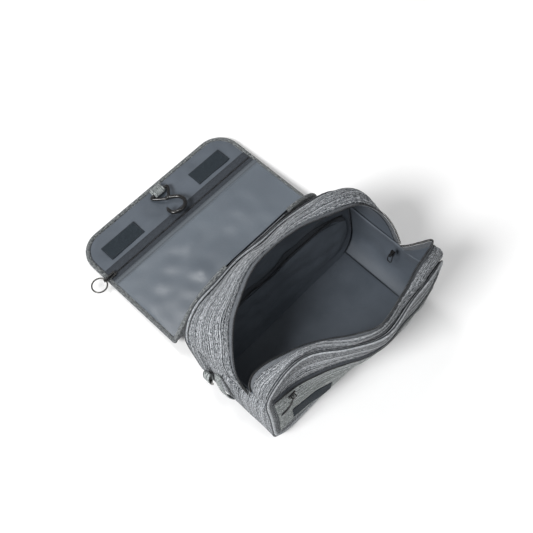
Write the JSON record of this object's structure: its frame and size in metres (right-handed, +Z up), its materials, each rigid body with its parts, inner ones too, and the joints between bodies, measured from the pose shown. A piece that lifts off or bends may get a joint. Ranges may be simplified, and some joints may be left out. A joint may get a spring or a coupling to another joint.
{
  "type": "hanging toiletry bag",
  "caption": "Grey fabric toiletry bag, mouth unzipped wide, cover flap folded back on the floor with a clear pocket and a hanging hook",
  "frame": {"origin": "middle of the flat underside of the base, at floor level", "axes": "X across the width, -Y to the front pocket side, +Y to the side where the flap lies, +Z up"},
  "size_m": [0.2595, 0.3523, 0.1529],
  "materials": {
    "heather_cloth": "heathered grey woven polyester",
    "edge_binding": "heathered grey woven tape",
    "smooth_lining": "smooth slate-grey nylon",
    "foam": "thin closed-cell padding",
    "stiffener": "flat board",
    "zip_tape": "woven zip tape",
    "zip_teeth": "coil teeth",
    "touch_fastener": "hook-and-loop tape",
    "clear_film": "clear flexible film",
    "black_metal": "black painted metal",
    "gunmetal": "dark nickel plating",
    "black_gloss": "glossy black"
  },
  "bodies": {
    "base": {"base_panel": "heather_cloth", "base_board": "stiffener", "base_lining": "smooth_lining", "left_lower_gusset": "heather_cloth", "right_lower_gusset": "heather_cloth", "side_handle": "heather_cloth", "handle_tab": "heather_cloth"},
    "front_shell": {"front_panel": "heather_cloth", "front_foam": "foam", "front_lining": "smooth_lining", "front_gusset": "heather_cloth", "front_gusset_lining": "smooth_lining", "front_zip_tape": "zip_tape", "front_zip_teeth": "zip_teeth", "front_piping": "edge_binding", "front_pocket_panel": "heather_cloth", "front_pocket_zip_tape": "zip_tape", "front_pocket_zip_teeth": "zip_teeth", "front_velcro_left": "touch_fastener", "front_velcro_right": "touch_fastener"},
    "back_shell": {"back_panel": "heather_cloth", "back_foam": "foam", "back_lining": "smooth_lining", "back_gusset": "heather_cloth", "back_gusset_lining": "smooth_lining", "back_zip_tape": "zip_tape", "back_zip_teeth": "zip_teeth", "back_piping": "edge_binding", "inner_pocket": "smooth_lining", "inner_pocket_zip_tape": "zip_tape", "inner_pocket_zip_teeth": "zip_teeth"},
    "flap_top": {"flap_top_outer": "heather_cloth", "flap_top_foam": "foam", "flap_top_lining": "smooth_lining"},
    "flap_cover": {"flap_outer": "heather_cloth", "flap_foam": "foam", "flap_lining": "smooth_lining", "flap_binding": "edge_binding", "flap_velcro_left": "touch_fastener", "flap_velcro_right": "touch_fastener", "flap_zip_tape_outer": "smooth_lining", "flap_zip_tape_inner": "smooth_lining", "flap_zip_teeth": "zip_teeth", "window_strip": "heather_cloth", "pvc_window": "clear_film", "hook_loop": "heather_cloth"},
    "flap_slider": {"flap_zip_slider": "black_metal"},
    "flap_ring": {"pull_ring": "gunmetal"},
    "hook": {"hanging_hook": "black_gloss"},
    "side_ring": {"d_ring": "gunmetal"},
    "front_slider": {"front_pocket_slider": "black_metal"},
    "front_puller": {"front_pocket_puller": "black_metal"},
    "inner_slider": {"inner_pocket_slider": "black_metal"},
    "mouth_slider_left": {"main_slider_left": "black_metal"},
    "mouth_slider_right": {"main_slider_right": "black_metal"},
    "mouth_puller_left": {"main_puller_left": "black_metal"},
    "mouth_puller_right": {"main_puller_right": "black_metal"}
  },
  "joints": [
    {"name": "back_lean", "type": "hinge", "parent": "base", "child": "back_shell", "pos_m": [0, 0.049, 0.004], "axis": [1, 0, 0], "range_deg": [0, 9]},
    {"name": "front_lean", "type": "hinge", "parent": "base", "child": "front_shell", "pos_m": [0, -0.049, 0.004], "axis": [1, 0, 0], "range_deg": [-8, 12]},
    {"name": "flap_turn", "type": "hinge", "parent": "back_shell", "child": "flap_top", "pos_m": [0, 0.089, 0.121], "axis": [1, 0, 0], "range_deg": [0, 180]},
    {"name": "flap_fold", "type": "hinge", "parent": "flap_top", "child": "flap_cover", "pos_m": [0, 0.104, 0.013], "axis": [1, 0, 0], "range_deg": [-85, 20]},
    {"name": "flap_slider_slide", "type": "slide", "parent": "flap_cover", "child": "flap_slider", "axis": [1, 0, 0], "range_m": [0, 0.2]},
    {"name": "flap_ring_turn", "type": "hinge", "parent": "flap_slider", "child": "flap_ring", "pos_m": [-0.1206, 0.21723, 0.01124], "axis": [0, 1, 0], "range_deg": [-70, 150]},
    {"name": "hook_turn", "type": "hinge", "parent": "flap_cover", "child": "hook", "pos_m": [0.002, 0.26015, 0.00853], "axis": [-1, 0, 0], "range_deg": [0, 125]},
    {"name": "side_ring_turn", "type": "hinge", "parent": "base", "child": "side_ring", "pos_m": [-0.12475, 0.0425, 0.032], "axis": [0, 1, 0], "range_deg": [-20, 60]},
    {"name": "front_slider_slide", "type": "slide", "parent": "front_shell", "child": "front_slider", "axis": [0.9245, -0.374, -0.073], "range_m": [0, 0.085]},
    {"name": "front_puller_turn", "type": "hinge", "parent": "front_slider", "child": "front_puller", "pos_m": [-0.092, -0.0468, 0.10135], "axis": [0, 0, 1], "range_deg": [0, 150]},
    {"name": "inner_slider_slide", "type": "slide", "parent": "back_shell", "child": "inner_slider", "axis": [1, 0, 0], "range_m": [0, 0.12]},
    {"name": "mouth_slider_left_slide", "type": "slide", "parent": "base", "child": "mouth_slider_left", "axis": [0, 0, 1], "range_m": [0, 0.03]},
    {"name": "mouth_slider_right_slide", "type": "slide", "parent": "base", "child": "mouth_slider_right", "axis": [0, 0, 1], "range_m": [0, 0.03]},
    {"name": "mouth_puller_left_turn", "type": "hinge", "parent": "mouth_slider_left", "child": "mouth_puller_left", "pos_m": [-0.106, -0.008, 0.063], "axis": [0, -1, 0], "range_deg": [0, 95]},
    {"name": "mouth_puller_right_turn", "type": "hinge", "parent": "mouth_slider_right", "child": "mouth_puller_right", "pos_m": [0.106, -0.008, 0.063], "axis": [0, 1, 0], "range_deg": [0, 95]}
  ]
}
